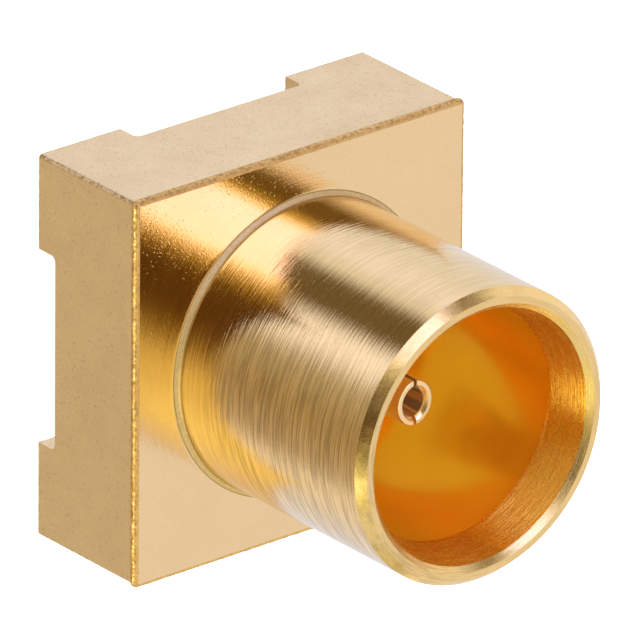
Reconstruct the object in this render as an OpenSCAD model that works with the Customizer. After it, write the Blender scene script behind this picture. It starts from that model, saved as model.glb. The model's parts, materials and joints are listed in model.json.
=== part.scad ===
// Micro coaxial jack for surface mounting: a turned and milled metal body that stands on
// four solder feet, a fluoropolymer insulator pressed into its back, and a slotted centre
// contact whose tail ends level with the feet. Millimetres, +Z along the barrel towards
// the mating side, origin in the foot plane on the barrel's axis.

/* [Base] */
// Side of the square base
base_w = 6.35; // [5.8:0.05:8]
// Height of the base, from the foot plane to its front face
base_h = 2.42; // [2:0.01:3.6]
// Radius of the base's four upright corners
base_corner_r = 0.06; // [0.03:0.01:0.2]
// Radius of the bead that the facing cut rolled around the front face
bead_r = 0.08; // [0.07:0.01:0.12]
// How far the bead stands out from the sides
bead_out = 0.035; // [0:0.005:0.05]
// Width of the two crossing slots that leave one foot at each corner
slot_w = 3.22; // [3.1:0.01:4.2]
// Depth of the crossing slots
slot_depth = 0.42; // [0.2:0.02:0.7]
// Fillet between a slot's floor and its walls
slot_fillet_r = 0.1; // [0.04:0.01:0.18]

/* [Barrel] */
// Outside diameter of the barrel
barrel_d = 4.79; // [4.65:0.01:5.4]
// Length of the barrel in front of the base
barrel_l = 4.39; // [3.8:0.01:6]
// Fillet where the barrel grows out of the base
root_fillet_r = 0.11; // [0.04:0.01:0.3]
// Width of the chamfer on the rim's outer edge
rim_chamfer_w = 0.125; // [0.03:0.005:0.14]
// Length of that chamfer along the barrel
rim_chamfer_l = 0.15; // [0.03:0.005:0.3]

/* [Mouth and bore] */
// Diameter of the opening in the rim's flat end face
mouth_d = 4.31; // [4.14:0.01:4.34]
// Chamfer between the rim's end face and the lead-in
mouth_chamfer = 0.09; // [0.03:0.01:0.1]
// Length of the tapered lead-in below the chamfer
lead_in_l = 0.63; // [0.3:0.01:0.9]
// Diameter of the throat that the plug clicks through
throat_d = 3.8; // [3.7:0.01:3.86]
// Length of the throat's straight land
throat_l = 0.06; // [0.02:0.01:0.3]
// Diameter of the polished bore behind the throat
bore_d = 3.9; // [3.88:0.01:4.04]
// Depth of the bore's floor below the rim
bore_depth = 4.4; // [4.1:0.05:4.9]

/* [Insulator] */
// Diameter of the insulator where the body grips it
insulator_d = 3; // [2.8:0.02:3.06]
// Diameter of the insulator's nose, level with the bore's floor
nose_d = 2.6; // [2:0.02:2.7]
// Thickness of the metal lip that stops the insulator
lip_t = 0.3; // [0.15:0.01:0.5]
// Chamfer at the insulator's rear edge and on the hole that it enters
rear_chamfer = 0.06; // [0.03:0.01:0.1]
// How far the insulator's back lies inside the slot floor
insulator_recess = 0.05; // [0.02:0.01:0.15]
// Radial gap between the insulator and the body
insulator_gap = 0; // [0:0.005:0.02]

/* [Centre contact] */
// Outside diameter of the socket's two tines
socket_d = 0.77; // [0.7:0.01:0.84]
// Diameter of the hole that takes the plug's pin
pin_hole_d = 0.49; // [0.4:0.01:0.56]
// Depth of the tines' tips below the rim
tip_depth = 1.65; // [1.1:0.01:1.9]
// Length of the slotted tines
tine_l = 2.1; // [1.6:0.02:2.3]
// Width of the saw cut between the tines
saw_w = 0.15; // [0.08:0.01:0.18]
// Gap left between the tips once the tines are closed
tip_gap = 0.06; // [0.02:0.01:0.08]
// Width of the flared entry around the pin hole
entry_flare = 0.06; // [0.02:0.005:0.08]
// Broken outer edge of tips, shoulder and tail
contact_chamfer = 0.03; // [0.01:0.005:0.05]
// Diameter of the shank inside the insulator
shank_d = 0.9; // [0.86:0.01:1.1]
// Height of the retaining barb above the shank
barb_h = 0.08; // [0.03:0.01:0.15]
// Length of the barb's ramp
barb_l = 0.3; // [0.1:0.02:0.4]
// Diameter of the solder tail
tail_d = 0.76; // [0.6:0.01:0.8]
// Thickness of insulator below the shank, which the tail passes through
tail_seat = 0.45; // [0.2:0.01:0.6]
// Radial gap between the contact and the insulator
contact_gap = 0; // [0:0.005:0.02]

/* [Hidden] */
$fn = 96;

gold = [0.86, 0.69, 0.42];
fluoropolymer = [0.95, 0.95, 0.93];

// Over-run of a cut past the face that it opens, and sink of a joined part into its carrier
over = 0.5;

// Levels along the axis
front_z = base_h;
rim_z = front_z + barrel_l;
floor_z = rim_z - bore_depth;
lip_z = floor_z - lip_t;
back_z = slot_depth + insulator_recess;
seat_z = back_z + tail_seat;
tip_z = rim_z - tip_depth;
root_z = tip_z - tine_l;
taper_z = rim_z - mouth_chamfer;
bead_z = front_z - bead_r;
throat_z = taper_z - lead_in_l;
flare_z = throat_z - throat_l;

// Distance of the bead's centre line from the part's axis
bead_x = base_w / 2 + bead_out - bead_r;

// Radii
barrel_r = barrel_d / 2;
mouth_r = mouth_d / 2;
lead_in_r = mouth_r - mouth_chamfer;
throat_r = throat_d / 2;
bore_r = bore_d / 2;
insulator_r = insulator_d / 2;
nose_r = nose_d / 2;
socket_r = socket_d / 2;
pin_hole_r = pin_hole_d / 2;
shank_r = shank_d / 2;
barb_r = shank_r + barb_h;
tail_r = tail_d / 2;

// Each tine leans in by this angle, which closes the saw cut to the gap at the tips
lean = asin((saw_w - tip_gap) / 2 / tine_l);
// The drill point at the bottom of the pin hole stays inside the hole's own wall
drill_r = 0.8 * pin_hole_r;
drill_point = 0.6 * drill_r;
// The barb's steep face sits half way up the gripped shank
barb_z = (seat_z + floor_z) / 2;

// Square with true arcs at its corners
module round_square(side, r) {
    square([side - 2 * r, side], center = true);
    square([side, side - 2 * r], center = true);
    for (x = [-1, 1], y = [-1, 1])
        translate([x * (side / 2 - r), y * (side / 2 - r)]) circle(r);
}

// Section of one slot, open towards -Y, with its floor at y = slot_depth
module slot_section() {
    flat_w = slot_w - 2 * slot_fillet_r;
    translate([-flat_w / 2, -over]) square([flat_w, slot_depth + over]);
    translate([-slot_w / 2, -over]) square([slot_w, slot_depth - slot_fillet_r + over]);
    for (side = [-1, 1])
        translate([side * flat_w / 2, slot_depth - slot_fillet_r]) circle(slot_fillet_r);
}

// The two slots that cross under the base
module crossing_slots() {
    length = base_w + 2 * over;
    for (turn = [0, 90])
        rotate([90, 0, turn]) linear_extrude(length, center = true) slot_section();
}

// Round bead along the four edges of the front face
module front_bead() {
    for (turn = [0:90:270])
        rotate([0, 0, turn]) translate([bead_x, 0, bead_z]) rotate([90, 0, 0])
            cylinder(r = bead_r, h = 2 * bead_x, center = true);
    for (x = [-1, 1], y = [-1, 1]) translate([x * bead_x, y * bead_x, bead_z]) sphere(bead_r);
}

module base_block() {
    difference() {
        union() {
            linear_extrude(bead_z) round_square(base_w, base_corner_r);
            linear_extrude(base_h) square(2 * bead_x, center = true);
            front_bead();
        }
        crossing_slots();
    }
}

// Half section of the barrel, filled to the axis, with its root fillet and chamfered rim
module barrel_section() {
    polygon([
        [0, front_z - over],
        [barrel_r, front_z - over],
        [barrel_r, rim_z - rim_chamfer_l],
        [barrel_r - rim_chamfer_w, rim_z],
        [0, rim_z]
    ]);
    translate([barrel_r, front_z]) difference() {
        square(root_fillet_r);
        translate([root_fillet_r, root_fillet_r]) circle(root_fillet_r);
    }
}

// Half section of everything that is turned out of the body, from the slot floor to the rim
module cavity_section() {
    relief = bore_r - throat_r;
    polygon([
        [0, slot_depth - over],
        [insulator_r + rear_chamfer, slot_depth - over],
        [insulator_r + rear_chamfer, slot_depth],
        [insulator_r, slot_depth + rear_chamfer],
        [insulator_r, lip_z],
        [nose_r, lip_z],
        [nose_r, floor_z],
        [bore_r, floor_z],
        [bore_r, flare_z - relief],
        [throat_r, flare_z],
        [throat_r, throat_z],
        [lead_in_r, taper_z],
        [mouth_r, rim_z],
        [mouth_r, rim_z + over],
        [0, rim_z + over]
    ]);
}

module connector_body() {
    color(gold) difference() {
        union() {
            base_block();
            rotate_extrude() barrel_section();
        }
        rotate_extrude() cavity_section();
    }
}

// Half section of the contact below its tines, grown by gap on its round sides
module shank_section(gap = 0) {
    polygon([
        [0, 0],
        [tail_r + gap - contact_chamfer, 0],
        [tail_r + gap, contact_chamfer],
        [tail_r + gap, seat_z],
        [shank_r + gap, seat_z],
        [shank_r + gap, barb_z],
        [barb_r + gap, barb_z],
        [shank_r + gap, barb_z + barb_l],
        [shank_r + gap, root_z - contact_chamfer],
        [shank_r + gap - contact_chamfer, root_z],
        [0, root_z]
    ]);
}

// Half section of the insulator before the contact's passage is taken out
module insulator_section() {
    outer_r = insulator_r - insulator_gap;
    polygon([
        [0, back_z],
        [outer_r - rear_chamfer, back_z],
        [outer_r, back_z + rear_chamfer],
        [outer_r, lip_z],
        [nose_r - insulator_gap, lip_z],
        [nose_r - insulator_gap, floor_z],
        [0, floor_z]
    ]);
}

module insulator() {
    color(fluoropolymer) rotate_extrude() difference() {
        insulator_section();
        shank_section(contact_gap);
    }
}

// Half section of the slotted socket, with z = 0 at the bottom of the saw cut
module tine_section() {
    polygon([
        [pin_hole_r, -contact_chamfer],
        [socket_r, -contact_chamfer],
        [socket_r, tine_l - contact_chamfer],
        [socket_r - contact_chamfer, tine_l],
        [pin_hole_r + entry_flare, tine_l],
        [pin_hole_r, tine_l - entry_flare]
    ]);
}

// One tine on the side given by its sign, leaning towards the axis
module tine(side) {
    translate([0, 0, root_z]) rotate([0, -side * lean, 0]) intersection() {
        rotate_extrude() tine_section();
        translate([side * (saw_w + socket_d) / 2, 0, tine_l / 2])
            cube([socket_d, 2 * socket_d, 2 * tine_l], center = true);
    }
}

module centre_contact() {
    color(gold) difference() {
        union() {
            rotate_extrude() shank_section();
            for (side = [-1, 1]) tine(side);
        }
        translate([0, 0, root_z - drill_point])
            cylinder(h = drill_point, r1 = 0, r2 = drill_r);
    }
}

connector_body();
insulator();
centre_contact();
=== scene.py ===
"""Looks of a micro coaxial jack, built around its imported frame.

The jack is three pieces: a gold-plated body that is turned and milled in one, a white
fluoropolymer insulator pressed into its back, and a slotted, gold-plated centre contact.
Each is a class that holds its sizes, draws its mesh and dresses it. Sizes are millimetres,
and MM turns them into metres where a mesh or a material is made.
"""

import json
import logging
import math
from dataclasses import dataclass, field
from enum import Enum
from typing import Iterable, Optional, Sequence, Union

import bmesh
import bpy
from mathutils import Matrix, Vector
from mathutils.geometry import tessellate_polygon

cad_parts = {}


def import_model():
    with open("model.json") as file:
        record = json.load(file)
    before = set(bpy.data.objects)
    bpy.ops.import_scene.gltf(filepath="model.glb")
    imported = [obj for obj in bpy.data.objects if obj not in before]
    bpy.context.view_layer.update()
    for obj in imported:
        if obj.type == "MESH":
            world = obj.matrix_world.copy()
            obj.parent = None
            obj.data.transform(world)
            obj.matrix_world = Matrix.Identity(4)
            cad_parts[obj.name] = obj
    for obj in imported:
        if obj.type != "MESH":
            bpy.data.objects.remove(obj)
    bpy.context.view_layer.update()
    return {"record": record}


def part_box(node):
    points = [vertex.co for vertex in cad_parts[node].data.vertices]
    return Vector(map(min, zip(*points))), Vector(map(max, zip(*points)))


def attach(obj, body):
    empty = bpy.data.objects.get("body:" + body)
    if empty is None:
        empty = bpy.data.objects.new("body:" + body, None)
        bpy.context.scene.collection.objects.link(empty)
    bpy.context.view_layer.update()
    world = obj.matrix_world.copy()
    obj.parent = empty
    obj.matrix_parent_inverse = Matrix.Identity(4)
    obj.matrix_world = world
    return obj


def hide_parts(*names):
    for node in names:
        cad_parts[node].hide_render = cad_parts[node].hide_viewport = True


log = logging.getLogger("jack")

MM = 0.001
# Corners closer than this are one corner, in metres
WELD = 1e-7
# Faces thinner than this are dropped, in metres
SLIVER = 1e-8
# Steps of a quarter turn that is shaded as one curve
ARC = 8
# Socket types of the node groups
FLOAT = "NodeSocketFloat"
INTEGER = "NodeSocketInt"
GEOMETRY = "NodeSocketGeometry"
# Colour of the plate where an edge is nicked
NICK_BROWN = (0.30, 0.17, 0.05)
# Roughness of a burnished edge, as a share of the roughness around it
BURNISH = 0.6
# Lift of the colour between its dark marks, as a share of their darkness
LIFT = 0.1
# Turns that set the streaks of light across the tool marks
ACROSS = 0.25

FlatPoint = tuple[float, float]
Point = tuple[float, float, float]
Colour = tuple[float, float, float]
Value = Union[float, int, str, Sequence[float], bpy.types.NodeSocket, bpy.types.Material]


class Finish(Enum):
    """Finishes of the jack, by the number that a face carries in its finish attribute."""

    TURNED = 0
    # Middle of the root fillet, painted dimmer than the plate: painted shade in the crease
    ROOT = 1
    FACED = 2
    RIM = 3
    # Lead-in of the mouth: gold plate whose extra orange is painted reflection
    LEAD_IN_PAINTED_REFLECTION = 4
    # Deep orange bore: painted reflection of the gold walls in each other
    BORE_PAINTED_REFLECTION = 5
    MILLED = 6
    # Bead on the front edge, painted darker: painted shade along the rounded edge
    BEAD = 7
    CONTACT = 8
    PLASTIC = 9
    # Edge bands of the root fillet, painted much darker: painted shade in the crease
    HOLLOW_PAINTED_SHADE = 10


class Wiring:
    """Adds nodes to one tree and wires their sockets."""

    def __init__(self, tree: bpy.types.NodeTree) -> None:
        """Takes the tree that the nodes go into."""
        self.tree = tree

    def add(self, kind: str, values: Optional[dict] = None, **settings: object) -> bpy.types.Node:
        """Adds a node.

        Args:
            kind: Blender's name of the node's type.
            values: A constant or a socket for each input, by the input's name or number.
            settings: The node's own properties.

        Returns:
            The new node.
        """
        node = self.tree.nodes.new(kind)
        for name, value in settings.items():
            setattr(node, name, value)
        for key, value in (values or {}).items():
            self.feed(node.inputs[key], value)
        return node

    def feed(self, socket: bpy.types.NodeSocket, value: Value) -> None:
        """Joins a socket to an input, or sets the input's own value.

        Args:
            socket: The input.
            value: A socket to link, or a constant.
        """
        if isinstance(value, bpy.types.NodeSocket):
            self.tree.links.new(value, socket)
        else:
            socket.default_value = value

    def math(self, operation: str, *terms: Value) -> bpy.types.NodeSocket:
        """Adds a Math node and returns its result."""
        node = self.add("ShaderNodeMath", dict(enumerate(terms)), operation=operation)
        return node.outputs[0]

    def vector(self, operation: str, *terms: Value, result: int = 0) -> bpy.types.NodeSocket:
        """Adds a Vector Math node and returns one of its results."""
        node = self.add("ShaderNodeVectorMath", dict(enumerate(terms)), operation=operation)
        return node.outputs[result]

    def scale(self, vector: Value, by: Value) -> bpy.types.NodeSocket:
        """Multiplies a vector by a number."""
        return self.add("ShaderNodeVectorMath", {0: vector, "Scale": by}, operation="SCALE").outputs[0]

    def combine(self, x: Value = 0.0, y: Value = 0.0, z: Value = 0.0) -> bpy.types.NodeSocket:
        """Makes a vector of three numbers."""
        return self.add("ShaderNodeCombineXYZ", {0: x, 1: y, 2: z}).outputs[0]

    def split(self, vector: Value) -> Sequence[bpy.types.NodeSocket]:
        """Parts a vector into its three numbers."""
        return self.add("ShaderNodeSeparateXYZ", {0: vector}).outputs

    def turn(self, vector: Value, angle: Value) -> bpy.types.NodeSocket:
        """Turns a vector about Z by an angle in radians."""
        values = {"Vector": vector, "Angle": angle}
        return self.add("ShaderNodeVectorRotate", values, rotation_type="Z_AXIS").outputs[0]

    def named(self, name: str, data_type: str) -> bpy.types.NodeSocket:
        """Reads a named attribute in a Geometry Nodes tree."""
        return self.add("GeometryNodeInputNamedAttribute", {"Name": name}, data_type=data_type).outputs[0]

    def ramp(self, value: Value, low: Value, high: Value, to_low: float = 0.0, to_high: float = 1.0,
             smooth: bool = False) -> bpy.types.NodeSocket:
        """Maps a value from one range to another.

        Args:
            value: What is mapped.
            low: Value that becomes to_low.
            high: Value that becomes to_high.
            to_low: First end of the result.
            to_high: Other end of the result.
            smooth: Ease in and out at the ends.

        Returns:
            The mapped value, held inside its range.
        """
        values = {"Value": value, "From Min": low, "From Max": high, "To Min": to_low, "To Max": to_high}
        style = "SMOOTHSTEP" if smooth else "LINEAR"
        return self.add("ShaderNodeMapRange", values, interpolation_type=style).outputs[0]

    def noise(self, vector: Value, scale: Value = 1.0, detail: float = 2.0, roughness: float = 0.5,
              seed: Value = 0.0) -> bpy.types.NodeSocket:
        """Adds seeded noise.

        Args:
            vector: Where the noise is read.
            scale: Cycles per unit of that vector.
            detail: Octaves.
            roughness: Strength of each octave against the one before.
            seed: Picks one of many fields of noise.

        Returns:
            A value around one half.
        """
        values = {"Vector": vector, "W": seed, "Scale": scale, "Detail": detail, "Roughness": roughness}
        return self.add("ShaderNodeTexNoise", values, noise_dimensions="4D").outputs[0]

    def blend(self, factor: Value, first: Value, second: Value) -> bpy.types.NodeSocket:
        """Mixes two colours.

        Args:
            factor: Share of the second colour.
            first: Colour at zero.
            second: Colour at one.

        Returns:
            The mixed colour.
        """
        node = self.add("ShaderNodeMix", data_type="RGBA", clamp_factor=True)
        self.feed(node.inputs[0], factor)
        self.feed(node.inputs[6], first)
        self.feed(node.inputs[7], second)
        return node.outputs[2]


# A group, its wiring, its input sockets by name and its output node
NewTree = tuple[bpy.types.NodeTree, Wiring, dict[str, bpy.types.NodeSocket], bpy.types.Node]


def new_tree(name: str, kind: str, inputs: Iterable[tuple], outputs: Iterable[tuple]) -> NewTree:
    """Makes an empty node group with named sockets.

    Args:
        name: The group's name.
        kind: ShaderNodeTree or GeometryNodeTree.
        inputs: Name, socket type and, where it has one, default of each input.
        outputs: Name and socket type of each output.

    Returns:
        The group, its wiring, its input sockets by name and its output node.
    """
    tree = bpy.data.node_groups.new(name, kind)
    for label, socket_type, *default in inputs:
        socket = tree.interface.new_socket(name=label, in_out="INPUT", socket_type=socket_type)
        if default:
            socket.default_value = default[0]
    for label, socket_type in outputs:
        tree.interface.new_socket(name=label, in_out="OUTPUT", socket_type=socket_type)
    wiring = Wiring(tree)
    given = wiring.add("NodeGroupInput").outputs
    sockets = {socket.name: socket for socket in given if socket.name}
    return tree, wiring, sockets, wiring.add("NodeGroupOutput")


class SurfaceEffects:
    """Shader node groups that the finishes share."""

    # Pitch of the fine rings over the pitch of the broad streaks, and the seed of the streaks
    STREAK_SHARE = 0.23
    STREAK_SEED = 7.0
    # Noise between a bright streak and a dull one
    STREAK = (0.35, 0.65)
    # Noise between a groove's bottom and its shoulder
    GROOVE = (0.42, 0.56)
    # Cosine of the bearing, from the side where the painted groove shade is faint to the side where it is
    # full
    GROOVE_SHADE_COSINES = (0.3, 0.9)
    # Share of the painted groove shade that is left on its faint side
    FAINT_SIDE_SHARE = 0.3
    # Heights between which the painted groove shade grows along the barrel, in millimetres
    GROOVE_SHADE_LEVELS = (2.6, 3.9)
    # Share of the painted groove shade at the lower of those heights
    ROOT_SHARE = 0.2
    # Seed of the milled lines, and how much their noise breaks up
    MILLED_SEED = 3.0
    MILLED_BREAK = 0.4
    # Share of the handled clouds in the shade of the plate, and the noise between its two shades
    CLOUD_SHARE = 0.4
    SHADE = (0.36, 0.64)
    # Size of the grain over the spacing of the pits, and the seed of the pits
    PIT_SHARE = 0.7
    PIT_SEED = 40.0
    # Noise between clean plate and the bottom of a pit
    PIT = (0.66, 0.76)
    # Noise between a dull edge and a burnished speck, and the seed of the specks
    SPECK = (0.4, 0.6)
    SPECK_SEED = 5.0
    # Size of the specks over the spacing of the nicks, and the seed of the nicks
    NICK_SHARE = 0.8
    NICK_SEED = 15.0
    # Noise between a clean edge and a nick
    NICK = (0.47, 0.58)
    # Heights over which the nicks of the soles end and start, in millimetres
    SOLE_TOP = (0.05, 0.02)
    SOLE_BOTTOM = (0.002, 0.012)

    def __init__(self) -> None:
        """Builds each group once."""
        self.turning = self._turning_marks()
        self.milling = self._milling_lines()
        self.grain = self._grain()
        self.edge = self._edge_glint()

    @staticmethod
    def _place(wiring: Wiring) -> bpy.types.NodeSocket:
        """Returns the shaded point in millimetres."""
        place = wiring.add("ShaderNodeTexCoord").outputs["Object"]
        return wiring.scale(place, 1 / MM)

    def _turning_marks(self) -> bpy.types.NodeTree:
        """Rings left by a turning tool, along the barrel and across its end faces, with painted shade in
        their groove bottoms.
        """
        tree, wiring, given, out = new_tree(
            "Turning marks", "ShaderNodeTree",
            (("Pitch", FLOAT, 0.05), ("Around", FLOAT, 1.5), ("Heavy Side", FLOAT, 200.0),
             ("Seed", FLOAT, 0.0)),
            (("Height", FLOAT), ("Streak", FLOAT), ("Chatter", FLOAT)))
        part = wiring.split(self._place(wiring))
        flat = wiring.combine(part[0], part[1])
        radius = wiring.vector("LENGTH", flat, result=1)
        along = wiring.math("DIVIDE", wiring.math("ADD", part[2], radius), given["Pitch"])
        compass = wiring.vector("NORMALIZE", flat)
        drift = wiring.scale(compass, given["Around"])
        groove = wiring.vector("ADD", drift, wiring.combine(z=along))
        height = wiring.noise(groove, detail=3.0, roughness=0.62, seed=given["Seed"])
        spaced = wiring.math("MULTIPLY", along, self.STREAK_SHARE)
        broad = wiring.vector("ADD", drift, wiring.combine(z=spaced))
        seed = wiring.math("ADD", given["Seed"], self.STREAK_SEED)
        streak = wiring.noise(broad, roughness=0.6, seed=seed)
        wiring.feed(out.inputs["Height"], height)
        wiring.feed(out.inputs["Streak"], wiring.ramp(streak, *self.STREAK))
        bearing = wiring.math("RADIANS", given["Heavy Side"])
        side = wiring.combine(wiring.math("COSINE", bearing), wiring.math("SINE", bearing))
        cosine = wiring.vector("DOT_PRODUCT", compass, side, result=1)
        # Painted shade: the groove bottoms darken fully around one bearing, faintly elsewhere, and less
        # near the root
        shaded_side = wiring.ramp(cosine, *self.GROOVE_SHADE_COSINES, self.FAINT_SIDE_SHARE, 1.0, smooth=True)
        grown = wiring.ramp(part[2], *self.GROOVE_SHADE_LEVELS, self.ROOT_SHARE, 1.0)
        shaded_side = wiring.math("MULTIPLY", shaded_side, grown)
        bottom = wiring.ramp(height, *self.GROOVE, 1.0, 0.0)
        wiring.feed(out.inputs["Chatter"], wiring.math("MULTIPLY", shaded_side, bottom))
        return tree

    def _milling_lines(self) -> bpy.types.NodeTree:
        """Faint slanting lines left by a cutter on the upright sides of the base."""
        tree, wiring, given, out = new_tree(
            "Milling lines", "ShaderNodeTree",
            (("Pitch", FLOAT, 0.055), ("Length", FLOAT, 1.2), ("Slant", FLOAT, 28.0)),
            (("Height", FLOAT),))
        part = wiring.split(self._place(wiring))
        across = wiring.combine(wiring.math("ADD", part[0], part[1]), part[2])
        slant = wiring.math("RADIANS", given["Slant"])
        lines = wiring.split(wiring.turn(across, wiring.math("MULTIPLY", slant, -1.0)))
        stretched = wiring.combine(wiring.math("DIVIDE", lines[0], given["Length"]),
                                   wiring.math("DIVIDE", lines[1], given["Pitch"]))
        height = wiring.noise(stretched, detail=1.0, roughness=self.MILLED_BREAK, seed=self.MILLED_SEED)
        wiring.feed(out.inputs["Height"], height)
        return tree

    def _grain(self) -> bpy.types.NodeTree:
        """Fine pebbling and sparse pits of the plate, and the cloudiness of a handled surface."""
        tree, wiring, given, out = new_tree(
            "Plate grain", "ShaderNodeTree",
            (("Size", FLOAT, 0.04), ("Cloud", FLOAT, 0.7), ("Seed", FLOAT, 0.0)),
            (("Height", FLOAT), ("Pits", FLOAT), ("Shade", FLOAT)))
        place = self._place(wiring)
        seed = given["Seed"]
        fine = wiring.noise(place, wiring.math("DIVIDE", 1.0, given["Size"]), roughness=0.55, seed=seed)
        cloud = wiring.noise(place, wiring.math("DIVIDE", 1.0, given["Cloud"]), 3.0, 0.6, seed)
        spots = wiring.noise(place, wiring.math("DIVIDE", self.PIT_SHARE, given["Size"]), detail=0.0,
                             seed=wiring.math("ADD", seed, self.PIT_SEED))
        wiring.feed(out.inputs["Height"], fine)
        wiring.feed(out.inputs["Pits"], wiring.ramp(spots, *self.PIT, smooth=True))
        grained = wiring.math("MULTIPLY", fine, 1.0 - self.CLOUD_SHARE)
        mixed = wiring.math("MULTIPLY_ADD", cloud, self.CLOUD_SHARE, grained)
        wiring.feed(out.inputs["Shade"], wiring.ramp(mixed, *self.SHADE))
        return tree

    def _edge_glint(self) -> bpy.types.NodeTree:
        """Burnished specks along the bead, and brown nicks along it and the milled corners."""
        tree, wiring, given, out = new_tree(
            "Edge glint", "ShaderNodeTree",
            (("Size", FLOAT, 0.05), ("Corner From", FLOAT, 3.10), ("Corner To", FLOAT, 3.16)),
            (("Mask", FLOAT), ("Nicks", FLOAT)))
        place = self._place(wiring)
        edge = wiring.add("ShaderNodeAttribute", attribute_name="edge").outputs["Fac"]
        specks = wiring.noise(
            place, wiring.math("DIVIDE", 1.0, given["Size"]), detail=1.0, seed=self.SPECK_SEED)
        speck = wiring.ramp(specks, *self.SPECK)
        wiring.feed(out.inputs["Mask"], wiring.math("MULTIPLY", edge, speck))
        part = wiring.split(place)
        away = wiring.math("MINIMUM", wiring.math("ABSOLUTE", part[0]), wiring.math("ABSOLUTE", part[1]))
        corner = wiring.ramp(away, given["Corner From"], given["Corner To"])
        sole = wiring.math("MULTIPLY", wiring.ramp(part[2], *self.SOLE_TOP),
                           wiring.ramp(part[2], *self.SOLE_BOTTOM))
        border = wiring.math("MAXIMUM", wiring.math("MAXIMUM", corner, edge), sole)
        nicks = wiring.noise(place, wiring.math("DIVIDE", self.NICK_SHARE, given["Size"]),
                             roughness=0.6, seed=self.NICK_SEED)
        nick = wiring.ramp(nicks, *self.NICK)
        wiring.feed(out.inputs["Nicks"], wiring.math("MULTIPLY", border, nick))
        return tree


@dataclass(frozen=True)
class GoldFinish:
    """Gold plate over one kind of machined surface.

    Heights, pitches and sizes are millimetres. The fields that end in shade, and speckle, say how
    much the colour darkens in the marks, nicks and pits. The darkening in the marks is painted shade
    in the groove bottoms.
    """

    label: str
    colour: Colour
    shade: Colour
    roughness: float
    rough_spread: float = 0.04
    anisotropy: float = 0.0
    mark_pitch: float = 0.05
    mark_around: float = 1.5
    mark_height: float = 0.0
    mark_painted_shade: float = 0.0
    milled_height: float = 0.0
    grain_size: float = 0.04
    grain_height: float = 0.0002
    pit_height: float = 0.0
    nick_shade: float = 0.0
    speckle: float = 0.0
    metallic: float = 1.0
    seed: float = 0.0

    def build(self, effects: SurfaceEffects) -> bpy.types.Material:
        """Makes the material.

        Args:
            effects: The shared node groups.

        Returns:
            The finished material.
        """
        material = bpy.data.materials.new(self.label)
        material.use_nodes = True
        material.node_tree.nodes.clear()
        wiring = Wiring(material.node_tree)
        marks = wiring.add("ShaderNodeGroup", {
            "Pitch": self.mark_pitch, "Around": self.mark_around, "Seed": self.seed},
            node_tree=effects.turning).outputs
        grain = wiring.add("ShaderNodeGroup", {
            "Size": self.grain_size, "Seed": self.seed}, node_tree=effects.grain).outputs
        edge = wiring.add("ShaderNodeGroup", node_tree=effects.edge).outputs
        milling = wiring.add("ShaderNodeGroup", node_tree=effects.milling).outputs

        normal = None
        for height, depth in (
                (grain["Height"], self.grain_height), (grain["Pits"], self.pit_height),
                (marks["Height"], self.mark_height), (milling["Height"], self.milled_height)):
            if depth:
                normal = self._bump(wiring, height, depth, normal)

        cloudy = wiring.math("MULTIPLY", grain["Shade"], 0.5)
        dull = wiring.math("MULTIPLY_ADD", marks["Streak"], 0.5, cloudy)
        smoothest, roughest = self.roughness - self.rough_spread, self.roughness + self.rough_spread
        roughness = wiring.ramp(dull, 0.0, 1.0, smoothest, roughest)
        worn = wiring.math("MULTIPLY", roughness, wiring.ramp(edge["Mask"], 0.0, 1.0, 1.0, BURNISH))
        colour = wiring.blend(grain["Shade"], (*self.colour, 1.0), (*self.shade, 1.0))
        # Painted shade: the colour darkens in the groove bottoms of the turning marks, fully on one side
        # of the barrel
        colour = self._darken(wiring, colour, marks["Chatter"], self.mark_painted_shade)
        if self.speckle:
            colour = self._darken(wiring, colour, grain["Pits"], self.speckle)
        if self.nick_shade:
            nicks = wiring.math("MULTIPLY", edge["Nicks"], self.nick_shade)
            colour = wiring.blend(nicks, colour, (*NICK_BROWN, 1.0))

        shader = wiring.add("ShaderNodeBsdfPrincipled", {
            "Base Color": colour, "Metallic": self.metallic, "Roughness": worn,
            "Specular IOR Level": 0.0, "Anisotropic": self.anisotropy})
        if normal is not None:
            wiring.feed(shader.inputs["Normal"], normal)
        if self.anisotropy:
            shader.inputs["Anisotropic Rotation"].default_value = ACROSS
            tangent = wiring.add("ShaderNodeTangent", direction_type="RADIAL", axis="Z")
            wiring.feed(shader.inputs["Tangent"], tangent.outputs[0])
        wiring.add("ShaderNodeOutputMaterial", {"Surface": shader.outputs[0]})
        return material

    @staticmethod
    def _darken(wiring: Wiring, colour: Value, mask: Value, depth: float) -> bpy.types.NodeSocket:
        """Darkens a colour under a mask, and lifts it a little elsewhere.

        Args:
            wiring: Tree of the material.
            colour: The colour.
            mask: Where it darkens.
            depth: By how much.

        Returns:
            The marked colour.
        """
        return wiring.scale(colour, wiring.math("MULTIPLY_ADD", mask, -depth, 1.0 + LIFT * depth))

    @staticmethod
    def _bump(wiring: Wiring, height: Value, depth: float,
              normal: Optional[Value] = None) -> bpy.types.NodeSocket:
        """Adds a bump of a true depth.

        Args:
            wiring: Tree of the material.
            height: Height from zero to one.
            depth: Height of one, in millimetres.
            normal: Normal that the bump is added to.

        Returns:
            The bumped normal.
        """
        node = wiring.add("ShaderNodeBump", {"Strength": 1.0, "Distance": depth * MM, "Height": height})
        if normal is not None:
            wiring.feed(node.inputs["Normal"], normal)
        return node.outputs[0]


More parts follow.
